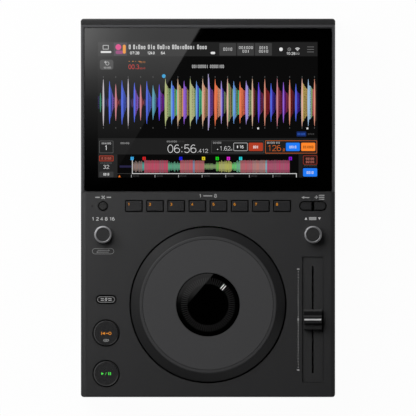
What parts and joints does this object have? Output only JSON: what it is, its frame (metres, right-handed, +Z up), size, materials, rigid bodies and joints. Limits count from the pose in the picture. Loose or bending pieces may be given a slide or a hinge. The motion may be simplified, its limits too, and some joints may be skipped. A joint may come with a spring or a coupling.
{
  "type": "tabletop media player",
  "caption": "Tabletop dj media player: tilted touch screen head, turning jog wheel with a fixed centre display, sprung keys, push knobs and a tempo slider.",
  "frame": {"origin": "on the table, under the middle of the body, at the feet's undersides", "axes": "+X to the user's right, +Y to the rear, where the screen and the connectors are, +Z up"},
  "size_m": [0.25, 0.372, 0.093],
  "materials": {
    "case": "fine matt moulding",
    "lower_case": "fine matt paint",
    "rim": "dark anodised",
    "glass": "polished black-backed glass",
    "screen": "screen module",
    "bracket": "bare steel sheet",
    "rear_sheet": "matt black paint",
    "board": "solder mask",
    "supply": "bare board",
    "black_plastic": "satin",
    "nickel": "nickel plate",
    "cable": "flat cable film",
    "wire": "wire sheath",
    "spindle": "turned",
    "lens": "polished black window",
    "bush": "turned",
    "hub": "moulded",
    "jog_side": "satin moulding",
    "jog_face": "dark satin anodised",
    "pinion": "acetal",
    "rod": "drawn rod",
    "knob_metal": "turned and satin",
    "knob_insert": "satin",
    "tray": "matt moulding",
    "housing": "pressed steel",
    "fader": "satin moulding",
    "light": "smoked light guide",
    "key": "satin moulding",
    "key_grey": "satin moulding",
    "screws": "zinc plated",
    "rubber": "soft rubber"
  },
  "bodies": {
    "root": {"bottom_case": "lower_case", "top_case": "case", "screen_housing": "case", "display_frame": "rim", "cover_glass": "glass", "lcd_module": "screen", "display_bracket": "bracket", "rear_panel": "rear_sheet", "main_board": "board", "power_supply": "supply", "ac_inlet": "black_plastic", "switch_housing": "black_plastic", "audio_jacks": "nickel", "data_ports": "nickel", "display_ribbon": "cable", "power_harness": "wire", "jog_chassis": "bracket", "jog_spindle": "spindle", "jog_display": "screen", "jog_window": "lens", "jog_sensor_board": "board", "row_board": "board", "left_board": "board", "tact_switches": "black_plastic", "encoders": "nickel", "slider_tray": "tray", "slider_housing": "housing", "status_light": "light", "case_screws": "screws", "board_screws": "screws", "feet": "rubber"},
    "jog_wheel": {"jog_hub": "hub", "jog_ring": "jog_side", "jog_bearing": "bush"},
    "jog_top": {"jog_plate": "jog_face"},
    "jog_pinion": {"jog_pinion": "pinion"},
    "beat_loop_rod": {"beat_loop_plunger": "rod"},
    "beat_loop_knob": {"beat_loop_knob": "knob_metal", "beat_loop_cap": "knob_insert"},
    "browse_rod": {"browse_plunger": "rod"},
    "browse_knob": {"browse_knob": "knob_metal", "browse_cap": "knob_insert"},
    "tempo_slider": {"slider_lever": "rod", "slider_knob": "fader"},
    "power_rocker": {"power_rocker": "black_plastic"},
    "hot_cue_button_1": {"hot_cue_button_1": "key"},
    "hot_cue_button_2": {"hot_cue_button_2": "key"},
    "hot_cue_button_3": {"hot_cue_button_3": "key"},
    "hot_cue_button_4": {"hot_cue_button_4": "key"},
    "hot_cue_button_5": {"hot_cue_button_5": "key"},
    "hot_cue_button_6": {"hot_cue_button_6": "key"},
    "hot_cue_button_7": {"hot_cue_button_7": "key"},
    "hot_cue_button_8": {"hot_cue_button_8": "key"},
    "delete_button": {"delete_button": "key_grey"},
    "back_button": {"back_button": "key"},
    "tag_button": {"tag_button": "key"},
    "shift_button": {"shift_button": "key_grey"},
    "cue_button": {"cue_button": "key"},
    "play_button": {"play_button": "key"}
  },
  "joints": [
    {"name": "jog_turn", "type": "hinge", "parent": "root", "child": "jog_wheel", "pos_m": [0, -0.095, 0.072], "axis": [0, 0, 1], "continuous": true},
    {"name": "jog_press", "type": "slide", "parent": "jog_wheel", "child": "jog_top", "axis": [0, 0, -1], "range_m": [0, 0.0004], "stiffness_N_per_m": 15000},
    {"name": "pinion_turn", "type": "hinge", "parent": "root", "child": "jog_pinion", "pos_m": [0, -0.041, 0.06], "axis": [0, 0, 1], "continuous": true},
    {"name": "beat_loop_push", "type": "slide", "parent": "root", "child": "beat_loop_rod", "axis": [0, 0, -1], "range_m": [0, 0.0005], "stiffness_N_per_m": 4000},
    {"name": "beat_loop_turn", "type": "hinge", "parent": "beat_loop_rod", "child": "beat_loop_knob", "pos_m": [-0.1032, -0.02607, 0.072], "axis": [0, 0, 1], "continuous": true},
    {"name": "browse_push", "type": "slide", "parent": "root", "child": "browse_rod", "axis": [0, 0, -1], "range_m": [0, 0.0005], "stiffness_N_per_m": 4000},
    {"name": "browse_turn", "type": "hinge", "parent": "browse_rod", "child": "browse_knob", "pos_m": [0.1032, -0.02607, 0.072], "axis": [0, 0, 1], "continuous": true},
    {"name": "tempo_slide", "type": "slide", "parent": "root", "child": "tempo_slider", "axis": [0, 1, 0], "range_m": [-0.05, 0.05]},
    {"name": "power_rock", "type": "hinge", "parent": "root", "child": "power_rocker", "pos_m": [-0.034, 0.1664, 0.035], "axis": [1, 0, 0], "range_deg": [0, 14]},
    {"name": "hot_cue_1_press", "type": "slide", "parent": "root", "child": "hot_cue_button_1", "axis": [0, 0, -1], "range_m": [0, 0.0007], "stiffness_N_per_m": 1500},
    {"name": "hot_cue_2_press", "type": "slide", "parent": "root", "child": "hot_cue_button_2", "axis": [0, 0, -1], "range_m": [0, 0.0007], "stiffness_N_per_m": 1500},
    {"name": "hot_cue_3_press", "type": "slide", "parent": "root", "child": "hot_cue_button_3", "axis": [0, 0, -1], "range_m": [0, 0.0007], "stiffness_N_per_m": 1500},
    {"name": "hot_cue_4_press", "type": "slide", "parent": "root", "child": "hot_cue_button_4", "axis": [0, 0, -1], "range_m": [0, 0.0007], "stiffness_N_per_m": 1500},
    {"name": "hot_cue_5_press", "type": "slide", "parent": "root", "child": "hot_cue_button_5", "axis": [0, 0, -1], "range_m": [0, 0.0007], "stiffness_N_per_m": 1500},
    {"name": "hot_cue_6_press", "type": "slide", "parent": "root", "child": "hot_cue_button_6", "axis": [0, 0, -1], "range_m": [0, 0.0007], "stiffness_N_per_m": 1500},
    {"name": "hot_cue_7_press", "type": "slide", "parent": "root", "child": "hot_cue_button_7", "axis": [0, 0, -1], "range_m": [0, 0.0007], "stiffness_N_per_m": 1500},
    {"name": "hot_cue_8_press", "type": "slide", "parent": "root", "child": "hot_cue_button_8", "axis": [0, 0, -1], "range_m": [0, 0.0007], "stiffness_N_per_m": 1500},
    {"name": "delete_press", "type": "slide", "parent": "root", "child": "delete_button", "axis": [0, 0, -1], "range_m": [0, 0.0007], "stiffness_N_per_m": 1500},
    {"name": "back_press", "type": "slide", "parent": "root", "child": "back_button", "axis": [0, 0, -1], "range_m": [0, 0.0007], "stiffness_N_per_m": 1500},
    {"name": "tag_press", "type": "slide", "parent": "root", "child": "tag_button", "axis": [0, 0, -1], "range_m": [0, 0.0007], "stiffness_N_per_m": 1500},
    {"name": "shift_press", "type": "slide", "parent": "root", "child": "shift_button", "axis": [0, 0, -1], "range_m": [0, 0.0007], "stiffness_N_per_m": 1500},
    {"name": "cue_press", "type": "slide", "parent": "root", "child": "cue_button", "axis": [0, 0, -1], "range_m": [0, 0.0007], "stiffness_N_per_m": 2500},
    {"name": "play_press", "type": "slide", "parent": "root", "child": "play_button", "axis": [0, 0, -1], "range_m": [0, 0.0007], "stiffness_N_per_m": 2500}
  ],
  "couplings": [
    {"joint": "pinion_turn", "follows": "jog_turn", "ratio": -5}
  ]
}
